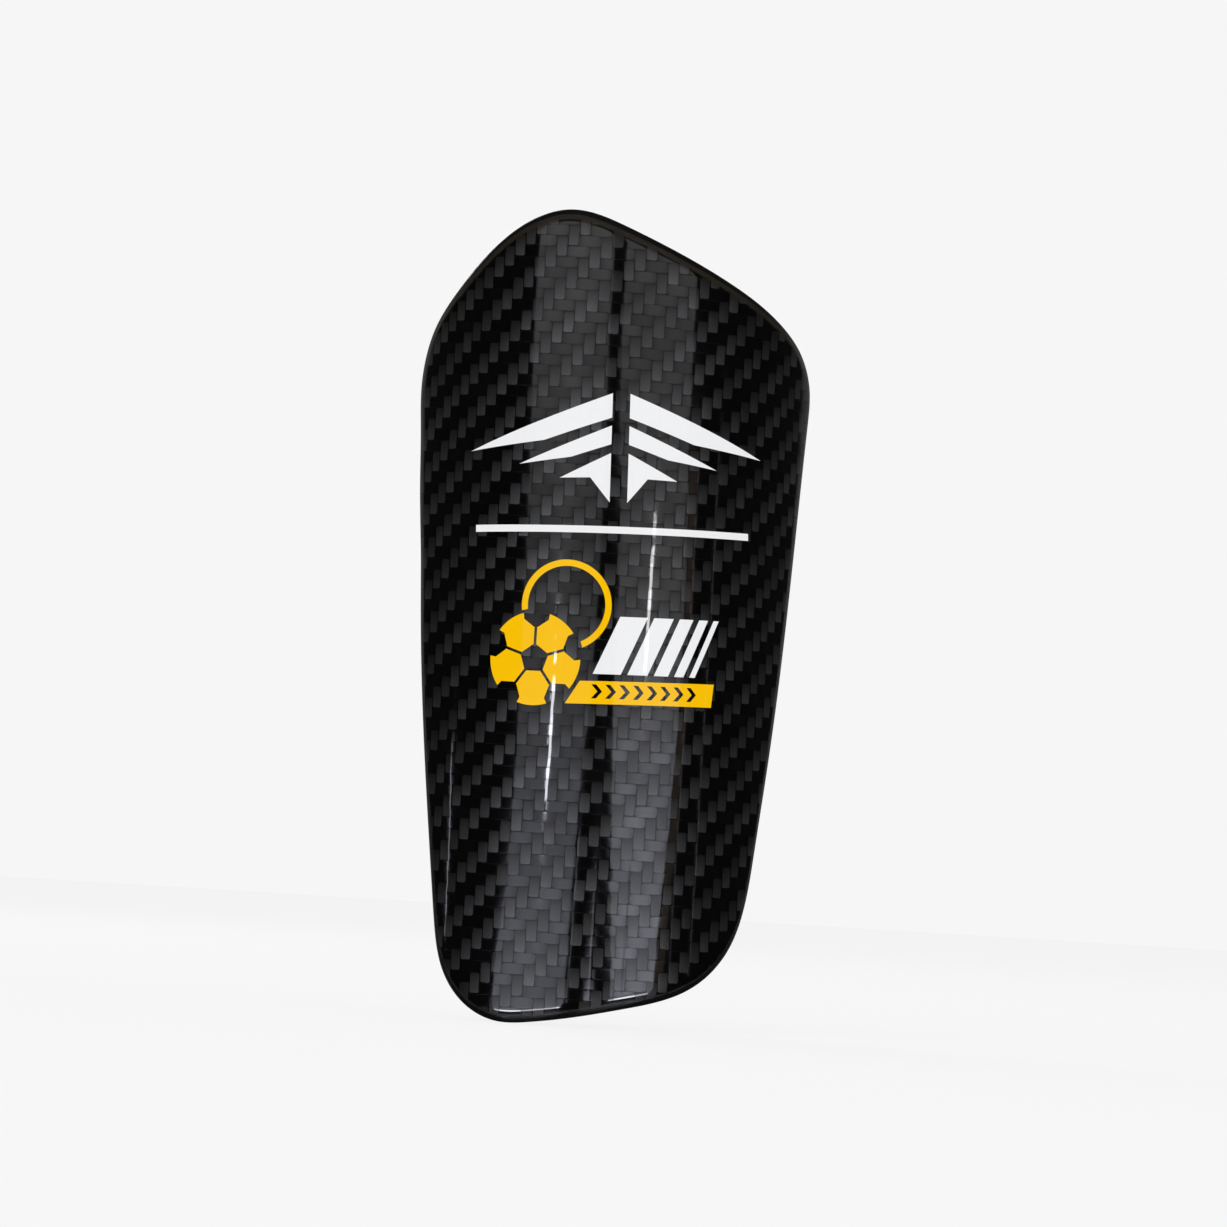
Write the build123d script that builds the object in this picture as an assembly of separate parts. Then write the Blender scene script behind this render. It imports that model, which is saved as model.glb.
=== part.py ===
from build123d import *
import math
import os

# A slip-in shin guard: a curved carbon laminate shell with a gloss resin coat, printed graphics under
# the coat, and a foam pad with a knit lining bonded to its rear.
#
# Frame: +Z up the leg to the knee, the front of the guard faces -Y, +X to the wearer's left.
# The origin is on the lining's skin side, on the guard's middle line, at mid height.
# The guard is part of a round cylinder whose axis is parallel to Z. Positions on the surface are
# given as (s, z): s is the arc length round the outer surface from the middle line, z the height.

# ---- driving dimensions, mm ----
R_OUT = 52.0          # outer radius of the finished shell
COAT_T = 0.30         # clear resin coat
PLY_T = 0.40          # woven carbon ply, front and back
CORE_T = 0.48         # each of the two inner plies
GLUE_T = 0.12         # adhesive film
FOAM_T = 5.00         # closed-cell foam pad
LINING_T = 0.72       # knit lining
GAP = 0.02            # clearance between neighbouring layers
SEAL_W = 1.10         # width of the resin bead round the cut edge
PAD_INSET = 3.0       # foam pad's edge inside the shell's edge
LINING_INSET = 2.6    # lining laps a little over the pad's edge
GLUE_INSET = 5.0
PRINT_T = 0.08        # printed film, between the face ply and the coat

# ---- layer radii, from the front to the rear ----
coat_o = R_OUT
coat_i = coat_o - COAT_T
print_o = coat_i - GAP
print_i = print_o - PRINT_T
face_o = print_i - GAP
face_i = face_o - PLY_T
core1_o = face_i - GAP
core1_i = core1_o - CORE_T
core2_o = core1_i - GAP
core2_i = core2_o - CORE_T
back_o = core2_i - GAP
back_i = back_o - PLY_T
glue_o = back_i - GAP
glue_i = glue_o - GLUE_T
foam_o = glue_i - GAP
foam_i = foam_o - FOAM_T
lining_o = foam_i - GAP
lining_i = lining_o - LINING_T
Y_AXIS = lining_i     # the cylinder's axis stands this far behind the origin

# ---- outline of the shell on its unrolled outer surface, as (s, z) ----
OUTLINE = [
    (-14.56, 93.12), (-12.35, 92.94), (-9.98, 92.48), (-7.22, 91.7), (-3.55, 90.36), (4.29, 87.25),
    (13.87, 83.36), (23.9, 79.17), (31.94, 75.7), (37.62, 73.02), (42.28, 70.59), (45.72, 68.59),
    (48.3, 66.86), (50.37, 65.21), (52.07, 63.57), (53.44, 61.95), (54.52, 60.36), (55.33, 58.78),
    (55.87, 57.14), (56.14, 55.38), (56.19, 53.36), (55.97, 50.76), (55.28, 45.45), (53.98, 34.69),
    (52.8, 23.88), (51.65, 13.07), (50.46, 2.27), (49.15, -8.53), (47.69, -19.3), (46.04, -30.04),
    (44.25, -40.76), (42.5, -51.47), (41.42, -57.91), (40.54, -61.94), (39.61, -65.2), (38.58, -68.02),
    (37.42, -70.51), (36.12, -72.76), (34.63, -74.86), (32.92, -76.84), (31, -78.72), (28.88, -80.46),
    (26.6, -82.04), (24.18, -83.42), (21.52, -84.66), (18.49, -85.78), (14.78, -86.89), (8.83, -88.32),
    (-0.75, -90.44), (-7.45, -91.72), (-12.94, -92.55), (-16.68, -92.98), (-19.31, -93.1), (-21.53, -92.96),
    (-23.61, -92.58), (-25.63, -91.96), (-27.6, -91.1), (-29.51, -90.02), (-31.32, -88.73), (-33.01, -87.24),
    (-34.54, -85.58), (-35.89, -83.77), (-37.06, -81.82), (-38.05, -79.65), (-38.91, -77.16), (-39.69, -74.1),
    (-40.57, -69.47), (-42.32, -59.25), (-44.17, -48.54), (-46.03, -37.83), (-47.82, -27.11), (-49.48, -16.37),
    (-50.91, -5.85), (-52.05, 4.38), (-53.04, 13.45), (-54.3, 22.25), (-55.18, 29.01), (-55.87, 36.75),
    (-56.53, 42.97), (-57.13, 47.55), (-57.36, 50.6), (-57.32, 53.17), (-57.02, 55.6), (-56.5, 57.99),
    (-55.74, 60.33), (-54.77, 62.61), (-53.57, 64.8), (-52.11, 66.94), (-50.26, 69.19), (-47.63, 71.96),
    (-42.1, 77.38), (-37.5, 81.79), (-34.26, 84.61), (-31.37, 86.83), (-28.65, 88.64), (-26.04, 90.12),
    (-23.54, 91.27), (-21.16, 92.14), (-18.89, 92.72), (-16.7, 93.05),
]


def area(pts):
    return 0.5 * sum(a[0] * b[1] - b[0] * a[1] for a, b in zip(pts, pts[1:] + pts[:1]))


def inset(pts, d):
    """The closed outline moved inwards by d, measured on the unrolled surface."""
    n = len(pts)
    sign = 1.0 if area(pts) > 0 else -1.0
    out = []
    for i in range(n):
        (ax, ay), (bx, by), (cx, cy) = pts[i - 1], pts[i], pts[(i + 1) % n]
        h1, h2 = math.hypot(bx - ax, by - ay), math.hypot(cx - bx, cy - by)
        # tangent of the parabola through three unevenly spaced points
        tx = ((bx - ax) / h1 * h2 + (cx - bx) / h2 * h1) / (h1 + h2)
        ty = ((by - ay) / h1 * h2 + (cy - by) / h2 * h1) / (h1 + h2)
        t = math.hypot(tx, ty)
        out.append((bx - sign * ty / t * d, by + sign * tx / t * d))
    return out


D_NEAR, D_FAR = 14.0, 60.0   # the radial cutters run between these distances from the axis


def plane_points(pts, d):
    return [Vector(d * math.tan(s / R_OUT), Y_AXIS - d, z) for s, z in pts]


def split_long(pts, step=5.0):
    out = []
    for a, b in zip(pts, pts[1:] + pts[:1]):
        n = max(1, int(math.ceil(abs(b[0] - a[0]) / step)))
        out += [(a[0] + (b[0] - a[0]) * i / n, a[1] + (b[1] - a[1]) * i / n) for i in range(n)]
    return out


def radial_polygon(pts, near=34.0):
    """The same, with straight sides on the unrolled surface."""
    pts = split_long(pts)
    wires = [Wire.make_polygon(plane_points(pts, d), close=True) for d in (near, D_FAR)]
    return Solid.make_loft(wires, ruled=True)


def radial_outline(pts):
    """A solid whose walls run radially out from the axis through the closed outline, facet by facet."""
    return Solid.make_loft([Wire.make_polygon(plane_points(pts, d), close=True) for d in (D_NEAR, D_FAR)], ruled=True)


SECTOR = math.radians(76)   # half angle of the blank that each layer is cut from


def on_axis_circle(r, angle, z=-110.0):
    return Vector(r * math.sin(angle), Y_AXIS - r * math.cos(angle), z)


def tube(r_o, r_i):
    """A blank for one layer: the front part of a tube round the cylinder's axis."""
    edges = [
        Edge.make_three_point_arc(on_axis_circle(r_o, -SECTOR), on_axis_circle(r_o, 0), on_axis_circle(r_o, SECTOR)),
        Edge.make_line(on_axis_circle(r_o, SECTOR), on_axis_circle(r_i, SECTOR)),
        Edge.make_three_point_arc(on_axis_circle(r_i, SECTOR), on_axis_circle(r_i, 0), on_axis_circle(r_i, -SECTOR)),
        Edge.make_line(on_axis_circle(r_i, -SECTOR), on_axis_circle(r_o, -SECTOR)),
    ]
    return Solid.extrude(Face(Wire(edges)), Vector(0, 0, 220))


def one_solid(shape):
    solids = shape.solids()
    assert len(solids) == 1, len(solids)
    return solids[0]


def layer(r_o, r_i, cutter):
    return one_solid(tube(r_o, r_i) & cutter)


# ---- laminate shell ----
edge_cut = radial_outline(OUTLINE)
shell_cut = radial_outline(inset(OUTLINE, SEAL_W))
shell_cut_gap = radial_outline(inset(OUTLINE, SEAL_W - GAP))

face_ply = layer(face_o, face_i, shell_cut)
core_ply_front = layer(core1_o, core1_i, shell_cut)
core_ply_rear = layer(core2_o, core2_i, shell_cut)
back_ply = layer(back_o, back_i, shell_cut)
clear_coat = layer(coat_o, coat_i, shell_cut)

# Resin bead that seals the cut edge of the plies, flush with the coat in front and the back ply behind.
edge_seal = one_solid(layer(R_OUT, back_i, edge_cut) - shell_cut_gap)


# ---- pad ----
adhesive_film = layer(glue_o, glue_i, radial_outline(inset(OUTLINE, GLUE_INSET)))
foam_pad = layer(foam_o, foam_i, radial_outline(inset(OUTLINE, PAD_INSET)))
lining = layer(lining_o, lining_i, radial_outline(inset(OUTLINE, LINING_INSET)))

# ---- printed graphics, all plain generic shapes, turned a little from square on the shell ----
TURN = math.radians(1.7)


def placed(pts, origin):
    c, s = math.cos(TURN), math.sin(TURN)
    return [(origin[0] + x * c - y * s, origin[1] + x * s + y * c) for x, y in pts]


def circle(cx, cy, r, n=48):
    return [(cx + r * math.cos(2 * math.pi * i / n), cy + r * math.sin(2 * math.pi * i / n)) for i in range(n)]


EMBLEM_AT = (-0.8, 38.8)
BLADES = [
    [(-2.0, 12.6), (-36.2, -0.8), (-17.5, 1.6), (-2.0, 7.0)],
    [(-2.0, 5.2), (-23.4, -3.9), (-11.2, -2.2), (-2.0, 0.9)],
    [(-2.0, -1.1), (-13.6, -7.0), (-6.6, -6.8), (-2.0, -12.4)],
]
BAR = [(-34.36, 19.95), (32.83, 21.95), (32.96, 20.35), (-34.24, 18.34)]
RING_C, RING_R, RING_W = (-10.9, 2.4), 10.4, 1.45
BALL_C, BALL_R = (-17.6, -10.1), 10.7
BALL_GAP = 0.7
STRIPE_AT = (-3.9, -12.9)
STRIPE_W = [6.4, 4.7, 3.4, 2.3, 1.4]
STRIPE_H, STRIPE_SLANT, STRIPE_GAP = 13.2, 5.9, 1.5
BANNER = [(-6.72, -14.63), (25.49, -13.37), (25.06, -18.71), (-9.84, -19.96)]
CHEVRONS, CHEVRON_PITCH = 8, 3.2


def ring_band(r_o, r_i, cutter):
    return tube(r_o, r_i) & cutter


def printed(outers, holes=()):
    """The printed solids of one node."""
    solids = []
    hole_cuts = [radial_polygon(h) for h in holes]
    for pts in outers:
        body = ring_band(print_o, print_i, radial_polygon(pts))
        for cut in hole_cuts:
            body = body - cut
        solids += list(body.solids())
    return Compound(children=solids)


mirror_blades = [[(-x, y) for x, y in reversed(b)] for b in BLADES]
wing_left = printed([placed(b, EMBLEM_AT) for b in BLADES])
wing_right = printed([placed(b, EMBLEM_AT) for b in mirror_blades])
divider = printed([BAR])

ring_cut = [circle(*RING_C, RING_R - RING_W), circle(*BALL_C, BALL_R + BALL_GAP)]
ring = printed([circle(*RING_C, RING_R)], ring_cut)

# The ball badge is a disc with a five-sided patch, five seams and five rim patches left open.
ball_holes = []
pent = []
for i in range(5):
    a = math.radians(90 + 72 * i)
    pent.append((BALL_C[0] + 3.5 * math.cos(a), BALL_C[1] + 3.5 * math.sin(a)))
ball_holes.append(pent)
for i in range(5):
    a = math.radians(90 + 72 * i)
    c, s = math.cos(a), math.sin(a)

    def at(r, w):
        return (BALL_C[0] + r * c - w * s, BALL_C[1] + r * s + w * c)

    ball_holes.append([at(3.0, -0.32), at(7.6, -0.32), at(7.6, 0.32), at(3.0, 0.32)])
    ball_holes.append([at(7.2, -0.5), at(8.9, -2.9), at(11.6, -3.3), at(11.6, 3.3), at(8.9, 2.9), at(7.2, 0.5)])
ball = printed([circle(*BALL_C, BALL_R)], ball_holes)

stripes, x = [], 0.0
for w in STRIPE_W:
    stripes.append(placed([(x, 0), (x + w, 0), (x + w + STRIPE_SLANT, STRIPE_H), (x + STRIPE_SLANT, STRIPE_H)], STRIPE_AT))
    x += w + STRIPE_GAP
stripe_set = printed(stripes)

chevrons = []
for i in range(CHEVRONS):
    x = -2.6 + i * CHEVRON_PITCH
    chevrons.append(placed([(x, 1.6), (x + 1.1, 1.6), (x + 2.5, 0), (x + 1.1, -1.6), (x, -1.6), (x + 1.4, 0)], (-1.4, -16.8)))
banner = printed([BANNER], chevrons)

nodes = {
    "clear_coat": clear_coat,
    "edge_seal": edge_seal,
    "face_ply": face_ply,
    "core_ply_front": core_ply_front,
    "core_ply_rear": core_ply_rear,
    "back_ply": back_ply,
    "adhesive_film": adhesive_film,
    "foam_pad": foam_pad,
    "lining": lining,
    "emblem_left_wing": wing_left,
    "emblem_right_wing": wing_right,
    "divider_bar": divider,
    "ring_badge": ring,
    "ball_badge": ball,
    "slanted_stripes": stripe_set,
    "chevron_banner": banner,
}

os.makedirs("parts", exist_ok=True)
for name, shape in nodes.items():
    export_step(shape, f"parts/{name}.step")
    print(name, len(shape.solids()), round(sum(q.volume for q in shape.solids()), 1))
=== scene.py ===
import math

import bmesh
import bpy
import numpy as np
from mathutils import Matrix, Vector


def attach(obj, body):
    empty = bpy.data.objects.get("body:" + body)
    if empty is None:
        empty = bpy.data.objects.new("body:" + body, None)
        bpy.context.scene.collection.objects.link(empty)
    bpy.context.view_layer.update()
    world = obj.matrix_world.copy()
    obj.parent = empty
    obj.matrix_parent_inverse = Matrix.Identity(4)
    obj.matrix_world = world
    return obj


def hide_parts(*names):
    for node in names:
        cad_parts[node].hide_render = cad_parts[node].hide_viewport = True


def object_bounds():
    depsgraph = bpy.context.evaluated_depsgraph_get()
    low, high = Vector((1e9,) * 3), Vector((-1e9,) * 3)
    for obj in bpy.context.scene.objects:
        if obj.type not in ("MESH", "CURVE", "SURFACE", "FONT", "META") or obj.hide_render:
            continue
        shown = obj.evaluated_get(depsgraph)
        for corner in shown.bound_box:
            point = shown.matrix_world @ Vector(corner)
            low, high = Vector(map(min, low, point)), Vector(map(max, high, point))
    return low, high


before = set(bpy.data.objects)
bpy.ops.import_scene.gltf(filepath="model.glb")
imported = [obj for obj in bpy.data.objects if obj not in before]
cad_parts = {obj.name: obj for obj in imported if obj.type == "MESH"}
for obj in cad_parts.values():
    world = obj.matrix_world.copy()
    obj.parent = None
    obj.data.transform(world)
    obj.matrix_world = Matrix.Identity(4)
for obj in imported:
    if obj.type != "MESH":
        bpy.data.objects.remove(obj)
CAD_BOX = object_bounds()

MM = 0.001

# ------------------------------------------------------------------ geometry of the guard, mm
R_OUT = 52.0
COAT_T, PRINT_T, PLY_T, CORE_T = 0.30, 0.08, 0.40, 0.48
GLUE_T, FOAM_T, LINING_T, GAP = 0.12, 5.00, 0.72, 0.02
SEAL_W, PAD_INSET, LINING_INSET = 1.10, 3.0, 2.6
BACK_I = R_OUT - COAT_T - PRINT_T - 2 * PLY_T - 2 * CORE_T - 5 * GAP
FOAM_O = BACK_I - GLUE_T - 2 * GAP
FOAM_I = FOAM_O - FOAM_T
LINING_O = FOAM_I - GAP
LINING_I = LINING_O - LINING_T
# the lining's skin side touches y = 0, so the cylinder's axis is that far behind the front of the frame
Y_AXIS = CAD_BOX[0][1] / MM + R_OUT

OUTLINE = [
    (-14.56, 93.12), (-12.35, 92.94), (-9.98, 92.48), (-7.22, 91.7), (-3.55, 90.36), (4.29, 87.25),
    (13.87, 83.36), (23.9, 79.17), (31.94, 75.7), (37.62, 73.02), (42.28, 70.59), (45.72, 68.59),
    (48.3, 66.86), (50.37, 65.21), (52.07, 63.57), (53.44, 61.95), (54.52, 60.36), (55.33, 58.78),
    (55.87, 57.14), (56.14, 55.38), (56.19, 53.36), (55.97, 50.76), (55.28, 45.45), (53.98, 34.69),
    (52.8, 23.88), (51.65, 13.07), (50.46, 2.27), (49.15, -8.53), (47.69, -19.3), (46.04, -30.04),
    (44.25, -40.76), (42.5, -51.47), (41.42, -57.91), (40.54, -61.94), (39.61, -65.2), (38.58, -68.02),
    (37.42, -70.51), (36.12, -72.76), (34.63, -74.86), (32.92, -76.84), (31, -78.72), (28.88, -80.46),
    (26.6, -82.04), (24.18, -83.42), (21.52, -84.66), (18.49, -85.78), (14.78, -86.89), (8.83, -88.32),
    (-0.75, -90.44), (-7.45, -91.72), (-12.94, -92.55), (-16.68, -92.98), (-19.31, -93.1), (-21.53, -92.96),
    (-23.61, -92.58), (-25.63, -91.96), (-27.6, -91.1), (-29.51, -90.02), (-31.32, -88.73), (-33.01, -87.24),
    (-34.54, -85.58), (-35.89, -83.77), (-37.06, -81.82), (-38.05, -79.65), (-38.91, -77.16), (-39.69, -74.1),
    (-40.57, -69.47), (-42.32, -59.25), (-44.17, -48.54), (-46.03, -37.83), (-47.82, -27.11), (-49.48, -16.37),
    (-50.91, -5.85), (-52.05, 4.38), (-53.04, 13.45), (-54.3, 22.25), (-55.18, 29.01), (-55.87, 36.75),
    (-56.53, 42.97), (-57.13, 47.55), (-57.36, 50.6), (-57.32, 53.17), (-57.02, 55.6), (-56.5, 57.99),
    (-55.74, 60.33), (-54.77, 62.61), (-53.57, 64.8), (-52.11, 66.94), (-50.26, 69.19), (-47.63, 71.96),
    (-42.1, 77.38), (-37.5, 81.79), (-34.26, 84.61), (-31.37, 86.83), (-28.65, 88.64), (-26.04, 90.12),
    (-23.54, 91.27), (-21.16, 92.14), (-18.89, 92.72), (-16.7, 93.05),
]


def periodic_spline(pts, n):
    """A smooth closed curve through pts, sampled n times."""
    p = np.array(pts, float)
    m = len(p)
    h = np.hypot(*(np.roll(p, -1, 0) - p).T)
    A = np.zeros((m, m))
    rhs = np.zeros((m, 2))
    for i in range(m):
        hp, hn = h[i - 1], h[i]
        A[i, i - 1] += hp
        A[i, i] += 2 * (hp + hn)
        A[i, (i + 1) % m] += hn
        rhs[i] = 6 * ((p[(i + 1) % m] - p[i]) / hn - (p[i] - p[i - 1]) / hp)
    M = np.linalg.solve(A, rhs)
    cum = np.r_[0, np.cumsum(h)]
    t = np.linspace(0, cum[-1], n, endpoint=False)
    k = np.clip(np.searchsorted(cum, t, side="right") - 1, 0, m - 1)
    hk = h[k][:, None]
    a = (cum[k + 1] - t)[:, None]
    b = (t - cum[k])[:, None]
    k1 = (k + 1) % m
    return (M[k] * a**3 + M[k1] * b**3) / (6 * hk) + (p[k] / hk - M[k] * hk / 6) * a + (p[k1] / hk - M[k1] * hk / 6) * b


def even(curve, n):
    """n points evenly along a closed curve."""
    d = np.hypot(*(np.roll(curve, -1, 0) - curve).T)
    cum = np.r_[0, np.cumsum(d)]
    t = np.linspace(0, cum[-1], n, endpoint=False)
    c = np.vstack([curve, curve[:1]])
    return np.c_[np.interp(t, cum, c[:, 0]), np.interp(t, cum, c[:, 1])]


def normals_in(curve):
    t = np.roll(curve, -1, 0) - np.roll(curve, 1, 0)
    t /= np.hypot(*t.T)[:, None]
    n = np.c_[-t[:, 1], t[:, 0]]
    area = 0.5 * np.sum(curve[:, 0] * np.roll(curve[:, 1], -1) - np.roll(curve[:, 0], -1) * curve[:, 1])
    return n if area > 0 else -n


EDGE = even(periodic_spline(OUTLINE, 6000), 2400)
EDGE_N = normals_in(EDGE)


def inset_curve(d):
    return EDGE + EDGE_N * d


def on_shell(s, z, r):
    """Unrolled (s, z) at radius r, as x, y, z in metres."""
    th = np.asarray(s) / R_OUT
    return np.stack([r * np.sin(th) * MM, (Y_AXIS - r * np.cos(th)) * MM, np.asarray(z) * MM + 0 * th], -1)


def radial(s):
    th = np.asarray(s) / R_OUT
    return np.stack([np.sin(th), -np.cos(th), 0 * th], -1)


def edge_distance(s, z):
    q = np.stack([s, z], -1).reshape(-1, 2)
    out = np.empty(len(q))
    for i in range(0, len(q), 2000):
        c = q[i : i + 2000]
        out[i : i + 2000] = np.sqrt(((c[:, None, :] - EDGE[None, ::3, :]) ** 2).sum(-1).min(1))
    return out.reshape(np.shape(s))


ROLL_W, ROLL_H = 3.4, 1.15


def shoulder(D):
    """How far the resin surface has fallen below the cylinder at distance D from the outline, and its slope."""
    t_ = np.clip((ROLL_W - D) / ROLL_W, 0, 0.9999)
    return ROLL_H * (1 - np.sqrt(1 - t_**2)), ROLL_H * t_ / (ROLL_W * np.sqrt(1 - t_**2))


def new_mesh(name, verts, faces, normals=None, smooth=True, attrs=None, body="root"):
    me = bpy.data.meshes.new(name)
    me.from_pydata([tuple(v) for v in verts], [], [tuple(f) for f in faces])
    me.validate()
    if smooth:
        for p in me.polygons:
            p.use_smooth = True
    for key, vals in (attrs or {}).items():
        at = me.attributes.new(key, "FLOAT", "POINT")
        at.data.foreach_set("value", np.asarray(vals, np.float32))
    if normals is not None:
        me.normals_split_custom_set_from_vertices([tuple(v) for v in normals])
    me.update()
    ob = bpy.data.objects.new(name, me)
    bpy.context.scene.collection.objects.link(ob)
    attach(ob, body)
    return ob


# ------------------------------------------------------------------ node helpers
class NT:
    def __init__(self, tree):
        self.t = tree
        self.n = tree.nodes
        self.l = tree.links

    def put(self, sock, v):
        if isinstance(v, bpy.types.NodeSocket):
            self.l.new(v, sock)
        else:
            sock.default_value = v

    def math(self, op, a, b=None, c=None, clamp=False):
        x = self.n.new("ShaderNodeMath")
        x.operation = op
        x.use_clamp = clamp
        self.put(x.inputs[0], a)
        if b is not None:
            self.put(x.inputs[1], b)
        if c is not None:
            self.put(x.inputs[2], c)
        return x.outputs[0]

    def add(self, a, b):
        return self.math("ADD", a, b)

    def sub(self, a, b):
        return self.math("SUBTRACT", a, b)

    def mul(self, a, b):
        return self.math("MULTIPLY", a, b)

    def vec(self, x, y, z=0.0):
        c = self.n.new("ShaderNodeCombineXYZ")
        for i, v in enumerate((x, y, z)):
            self.put(c.inputs[i], v)
        return c.outputs[0]

    def sep(self, v):
        c = self.n.new("ShaderNodeSeparateXYZ")
        self.put(c.inputs[0], v)
        return c.outputs

    def ramp(self, v, lo, hi, a=0.0, b=1.0, smooth=True):
        m = self.n.new("ShaderNodeMapRange")
        m.interpolation_type = "SMOOTHSTEP" if smooth else "LINEAR"
        self.put(m.inputs["Value"], v)
        self.put(m.inputs["From Min"], lo)
        self.put(m.inputs["From Max"], hi)
        self.put(m.inputs["To Min"], a)
        self.put(m.inputs["To Max"], b)
        return m.outputs["Result"]

    def noise(self, vec, scale, detail=2.0, rough=0.5, dims="3D"):
        m = self.n.new("ShaderNodeTexNoise")
        m.noise_dimensions = dims
        self.put(m.inputs["Vector"], vec)
        m.inputs["Scale"].default_value = scale
        m.inputs["Detail"].default_value = detail
        m.inputs["Roughness"].default_value = rough
        return m.outputs["Fac"]

    def white(self, vec):
        m = self.n.new("ShaderNodeTexWhiteNoise")
        m.noise_dimensions = "3D"
        self.put(m.inputs["Vector"], vec)
        return m.outputs["Value"]

    def mix(self, f, a, b):
        m = self.n.new("ShaderNodeMix")
        m.data_type = "RGBA"
        m.clamp_factor = True
        self.put(m.inputs[0], f)
        self.put(m.inputs[6], a)
        self.put(m.inputs[7], b)
        return m.outputs[2]

    def mixf(self, f, a, b):
        m = self.n.new("ShaderNodeMix")
        m.data_type = "FLOAT"
        m.clamp_factor = True
        self.put(m.inputs[0], f)
        self.put(m.inputs[2], a)
        self.put(m.inputs[3], b)
        return m.outputs[0]

    def scaled(self, col, f):
        m = self.n.new("ShaderNodeVectorMath")
        m.operation = "SCALE"
        self.put(m.inputs[0], col)
        self.put(m.inputs["Scale"], f)
        return m.outputs[0]

    def bump(self, h, dist, strength=1.0, normal=None):
        m = self.n.new("ShaderNodeBump")
        m.inputs["Strength"].default_value = strength
        m.inputs["Distance"].default_value = dist
        self.put(m.inputs["Height"], h)
        if normal is not None:
            self.put(m.inputs["Normal"], normal)
        return m.outputs[0]

    def attr(self, name):
        m = self.n.new("ShaderNodeAttribute")
        m.attribute_name = name
        return m.outputs["Fac"]


def material(name):
    m = bpy.data.materials.new(name)
    m.use_nodes = True
    nt = NT(m.node_tree)
    m.node_tree.nodes.clear()
    out = nt.n.new("ShaderNodeOutputMaterial")
    p = nt.n.new("ShaderNodeBsdfPrincipled")
    nt.l.new(p.outputs[0], out.inputs[0])
    return m, nt, p


def shell_coords(nt):
    """(s, z) in mm on the unrolled shell, from the place in the guard's own frame."""
    tc = nt.n.new("ShaderNodeTexCoord")
    x, y, z = nt.sep(tc.outputs["Object"])
    back = nt.sub(Y_AXIS * MM, y)
    th = nt.math("ARCTAN2", x, back)
    return nt.mul(th, R_OUT), nt.mul(z, 1000.0), tc.outputs["Object"]


def twill(nt, s, z, pitch_s=2.595, pitch_z=2.487, wander=0.16):
    """2x2 twill: which tow is on top, where the point is on its float, and the tow's own number."""
    w = nt.noise(nt.vec(nt.mul(s, 0.05), nt.mul(z, 0.05), 3.0), 1.0, 2.0)
    w2 = nt.noise(nt.vec(nt.mul(s, 0.05), nt.mul(z, 0.05), 9.0), 1.0, 2.0)
    s = nt.add(s, nt.mul(nt.sub(w, 0.5), wander * 6))
    z = nt.add(z, nt.mul(nt.sub(w2, 0.5), wander * 6))
    u = nt.add(nt.mul(s, 1 / pitch_s), 100.0)
    v = nt.add(nt.mul(z, 1 / pitch_z), 100.0)
    i, j = nt.math("FLOOR", u), nt.math("FLOOR", v)
    fu, fv = nt.sub(u, i), nt.sub(v, j)
    d = nt.sub(j, i)
    m = nt.math("FLOORED_MODULO", d, 4.0)
    warp = nt.math("LESS_THAN", m, 1.5)
    cyc = nt.math("FLOOR", nt.mul(d, 0.25))
    # across and along each float, -1 to 1
    a_warp = nt.sub(nt.mul(fu, 2.0), 1.0)
    b_warp = nt.sub(nt.add(m, fv), 1.0)
    a_weft = nt.sub(nt.mul(fv, 2.0), 1.0)
    b_weft = nt.sub(nt.add(nt.sub(3.0, m), fu), 1.0)
    across = nt.mixf(warp, a_weft, a_warp)
    along = nt.mixf(warp, b_weft, b_warp)
    tow = nt.mixf(warp, j, i)
    ident = nt.vec(tow, cyc, warp)
    return dict(warp=warp, across=across, along=along, ident=ident, tow=tow, u=u, v=v, fu=fu, fv=fv)


# ------------------------------------------------------------------ materials
def coat_waves(nt, s, z):
    """Height of the slightly uneven gloss coat: long runs down the shell and a faint ripple."""
    slow = nt.noise(nt.vec(nt.mul(s, 0.055), nt.mul(z, 0.021), 0.0), 1.0, 0.0)
    fine = nt.noise(nt.vec(nt.mul(s, 0.15), nt.mul(z, 0.13), 5.0), 1.0, 1.0, 0.35)
    return nt.add(slow, nt.mul(fine, 0.14))


def coat_layer(nt, p, s, z, amount=1.0):
    p.inputs["Coat Weight"].default_value = 1.0
    p.inputs["Coat Roughness"].default_value = 0.015
    p.inputs["Coat IOR"].default_value = 1.5
    h = coat_waves(nt, s, z)
    nt.l.new(nt.bump(h, 0.00016 * amount), p.inputs["Coat Normal"])


def tow_body(nt, t, half_a, half_b, corner):
    """1 on the visible float and 0 in the gap round it, as a rectangle with rounded corners."""
    da = nt.sub(nt.mul(nt.math("ABSOLUTE", t["across"]), 1.30), nt.sub(nt.mul(half_a, 1.30), corner))
    db = nt.sub(nt.mul(nt.math("ABSOLUTE", t["along"]), 2.49), nt.sub(nt.mul(half_b, 2.49), corner))
    da = nt.math("MAXIMUM", da, 0.0)
    db = nt.math("MAXIMUM", db, 0.0)
    d = nt.sub(nt.math("SQRT", nt.add(nt.mul(da, da), nt.mul(db, db))), corner)
    return nt.ramp(d, -0.06, 0.12, 1.0, 0.0)


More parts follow.
